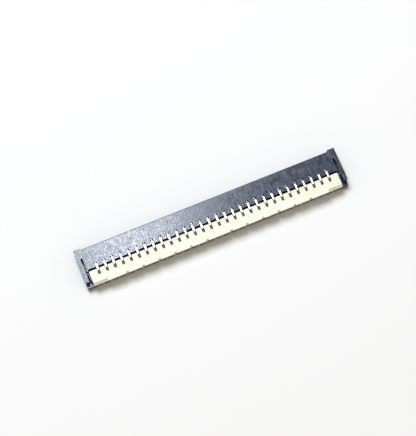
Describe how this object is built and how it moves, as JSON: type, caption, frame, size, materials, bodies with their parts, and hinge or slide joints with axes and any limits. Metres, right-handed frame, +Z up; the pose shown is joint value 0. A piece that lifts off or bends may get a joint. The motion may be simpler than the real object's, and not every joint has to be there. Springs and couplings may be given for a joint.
{
  "type": "flexible printed circuit connector",
  "caption": "Low board connector with a slot for a flexible printed circuit at the front and a back flip lever that presses a row of stamped contacts onto it.",
  "frame": {"origin": "middle of the footprint, on the circuit board", "axes": "+X along the contact row, +Y out of the mouth where the flexible circuit enters, +Z up from the board"},
  "size_m": [0.0164, 0.0024, 0.0009],
  "materials": {
    "housing": "satin black glass-filled moulding",
    "lever": "satin cream moulding",
    "contact": "bright tin plating on copper alloy",
    "hold_down": "dull tin plating on copper alloy"
  },
  "bodies": {
    "connector_body": {"housing": "housing", "contact_01": "contact", "contact_02": "contact", "contact_03": "contact", "contact_04": "contact", "contact_05": "contact", "contact_06": "contact", "contact_07": "contact", "contact_08": "contact", "contact_09": "contact", "contact_10": "contact", "contact_11": "contact", "contact_12": "contact", "contact_13": "contact", "contact_14": "contact", "contact_15": "contact", "contact_16": "contact", "contact_17": "contact", "contact_18": "contact", "contact_19": "contact", "contact_20": "contact", "contact_21": "contact", "contact_22": "contact", "contact_23": "contact", "contact_24": "contact", "contact_25": "contact", "contact_26": "contact", "contact_27": "contact", "contact_28": "contact", "contact_29": "contact", "contact_30": "contact", "hold_down_left": "hold_down", "hold_down_right": "hold_down"},
    "lever": {"flip_lever": "lever"}
  },
  "joints": [
    {"name": "lever_flip", "type": "hinge", "parent": "connector_body", "child": "lever", "pos_m": [0, -0.00037, 0.0007], "axis": [-1, 0, 0], "range_deg": [0, 90]}
  ]
}
